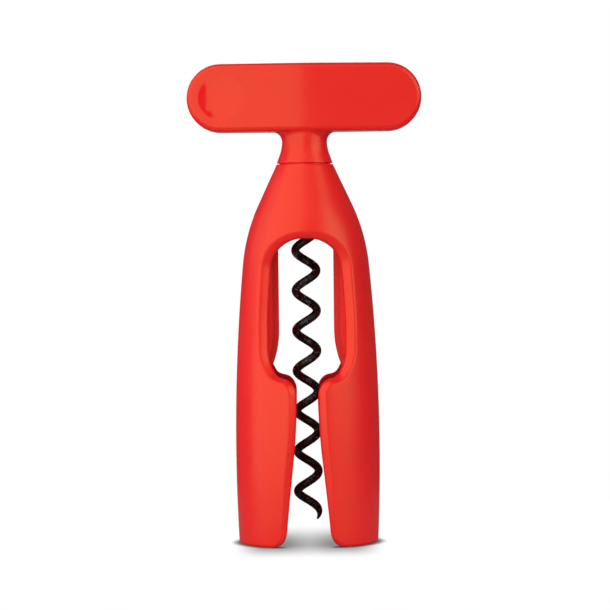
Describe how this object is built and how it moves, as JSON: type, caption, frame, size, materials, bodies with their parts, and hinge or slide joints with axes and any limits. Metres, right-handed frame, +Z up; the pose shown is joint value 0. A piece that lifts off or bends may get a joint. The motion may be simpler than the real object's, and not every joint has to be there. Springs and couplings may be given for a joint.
{
  "type": "self-pulling corkscrew",
  "caption": "Standing bell corkscrew with two legs, a window for the cork, a coated wire worm and a T handle that turns it without end.",
  "frame": {"origin": "on the worm's axis, at the plane that the feet of the legs stand on", "axes": "+Z up along the worm's axis, +X along the handle's bar, Y through the two windows"},
  "size_m": [0.0856, 0.0518, 0.1749],
  "materials": {
    "red_plastic": "satin moulded",
    "coated_wire": "black non-stick coating",
    "washer_plastic": "smooth moulded",
    "washer_steel": "rolled sheet",
    "ring_steel": "oiled spring steel",
    "bush_plastic": "natural moulded",
    "spindle_plastic": "glass filled, moulded"
  },
  "bodies": {
    "bell": {"bell_body": "red_plastic", "neck_bush": "bush_plastic", "thrust_washer": "washer_plastic", "lower_washer": "washer_steel"},
    "turning_handle": {"handle_front_shell": "red_plastic", "handle_rear_shell": "red_plastic", "spindle": "spindle_plastic", "worm": "coated_wire", "retaining_ring": "ring_steel"}
  },
  "joints": [
    {"name": "handle_turn", "type": "hinge", "parent": "bell", "child": "turning_handle", "pos_m": [0, 0, 0.1382], "axis": [0, 0, 1], "continuous": true}
  ]
}
